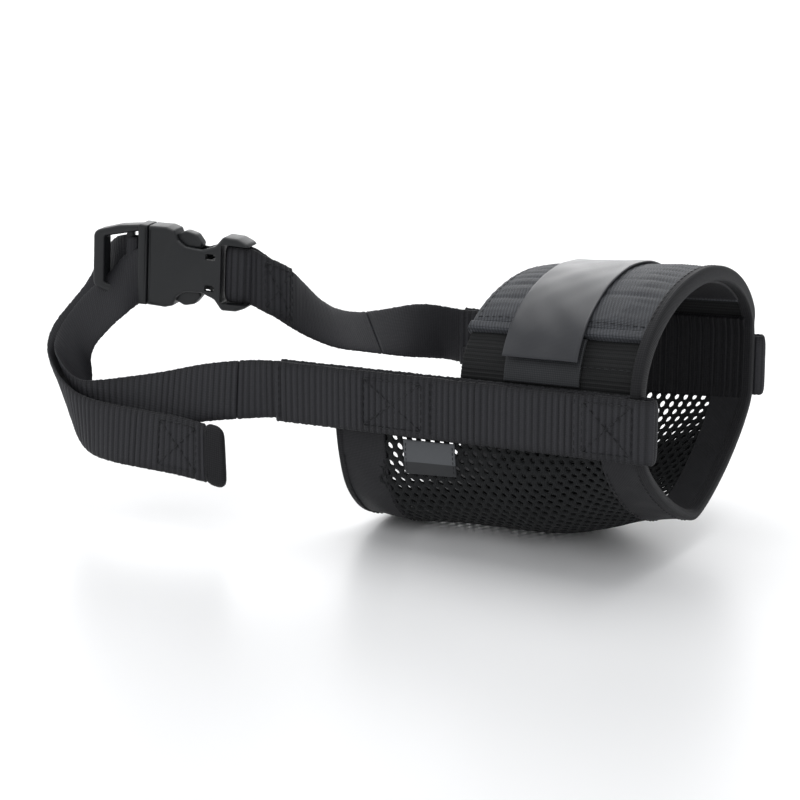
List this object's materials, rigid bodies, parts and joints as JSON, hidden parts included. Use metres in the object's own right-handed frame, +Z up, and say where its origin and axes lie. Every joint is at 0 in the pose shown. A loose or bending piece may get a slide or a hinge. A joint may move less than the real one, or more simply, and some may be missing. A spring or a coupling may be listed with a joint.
{
  "type": "soft fabric muzzle",
  "caption": "Black soft fabric muzzle with an air mesh chin panel, padded nose band, webbing side straps and an adjustable neck strap with a side-release buckle.",
  "frame": {"origin": "the point of the chin panel that rests on the table, on the muzzle's middle line", "axes": "+X towards the nose opening, +Y towards the far side (the side without the label), +Z up"},
  "size_m": [0.2305, 0.1152, 0.0927],
  "materials": {
    "air_mesh": "open three-dimensional knitted mesh, matt black",
    "facing_cloth": "plain woven nylon, slight sheen",
    "binding_tape": "folded woven edge tape, matt",
    "band_cloth": "fine ribbed nylon, slate grey, satin",
    "foam": "soft foam",
    "lining_cloth": "fine vertical rib, matt",
    "elastic": "horizontally ribbed elastic",
    "webbing": "ribbed nylon webbing, slight sheen",
    "satin_strap": "smooth hook-and-loop strap, satin",
    "hook_tape": "hook tape, matt",
    "label_cloth": "woven blank label, satin",
    "thread": "polyester thread",
    "buckle_plastic": "fine-grained acetal, dark grey"
  },
  "bodies": {
    "muzzle": {"mesh_panel": "air_mesh", "rear_facing": "facing_cloth", "front_facing": "facing_cloth", "rear_binding": "binding_tape", "chin_binding": "binding_tape", "nose_band_shell": "band_cloth", "nose_band_foam": "foam", "nose_band_lining": "lining_cloth", "near_band_hem": "band_cloth", "far_band_hem": "band_cloth", "band_binding": "binding_tape", "near_gusset": "elastic", "far_gusset": "elastic", "closing_strap_fixed": "satin_strap", "loop_patch": "hook_tape", "near_side_webbing": "webbing", "far_side_webbing": "webbing", "near_web_stitches": "thread", "far_web_stitches": "thread", "side_label": "label_cloth"},
    "closing_tab": {"closing_strap_tab": "satin_strap", "hook_patch": "hook_tape"},
    "neck_loop": {"near_neck_strap": "webbing", "far_neck_strap": "webbing", "far_strap_fold": "webbing", "far_fold_stitches": "thread", "buckle_socket": "buckle_plastic"},
    "plug": {"buckle_plug": "buckle_plastic", "bar_wrap": "webbing", "rear_neck_strap": "webbing", "rear_tail_layer": "webbing"},
    "upper_prong": {"upper_prong": "buckle_plastic"},
    "lower_prong": {"lower_prong": "buckle_plastic"},
    "tail": {"tail_strap": "webbing", "tail_end_hem": "webbing", "tail_stitches": "thread"}
  },
  "joints": [
    {"name": "tab_peel", "type": "hinge", "parent": "muzzle", "child": "closing_tab", "pos_m": [0.015, -0.00305, 0.08795], "axis": [-0.996, 0, -0.0896], "range_deg": [0, 100]},
    {"name": "neck_loop_tilt", "type": "hinge", "parent": "muzzle", "child": "neck_loop", "pos_m": [-0.056, 0, 0.04662], "axis": [0, 1, 0], "range_deg": [-5, 35]},
    {"name": "buckle_release", "type": "slide", "parent": "neck_loop", "child": "plug", "axis": [-0.9746, -0.2178, 0.0523], "range_m": [0, 0.032], "deforming": ["upper_prong", "lower_prong"]},
    {"name": "upper_prong_squeeze", "type": "hinge", "parent": "plug", "child": "upper_prong", "pos_m": [-0.13572, -0.02702, 0.08507], "axis": [-0.2181, 0.9759, 0], "range_deg": [0, 7], "stiffness_Nm_per_rad": 0.05},
    {"name": "lower_prong_squeeze", "type": "hinge", "parent": "plug", "child": "lower_prong", "pos_m": [-0.13647, -0.02719, 0.07029], "axis": [0.2181, -0.9759, 0], "range_deg": [0, 7], "stiffness_Nm_per_rad": 0.05},
    {"name": "tail_swing", "type": "hinge", "parent": "plug", "child": "tail", "pos_m": [-0.144, -0.061, 0.0278], "axis": [0, 0, -1], "range_deg": [0, 80]}
  ]
}
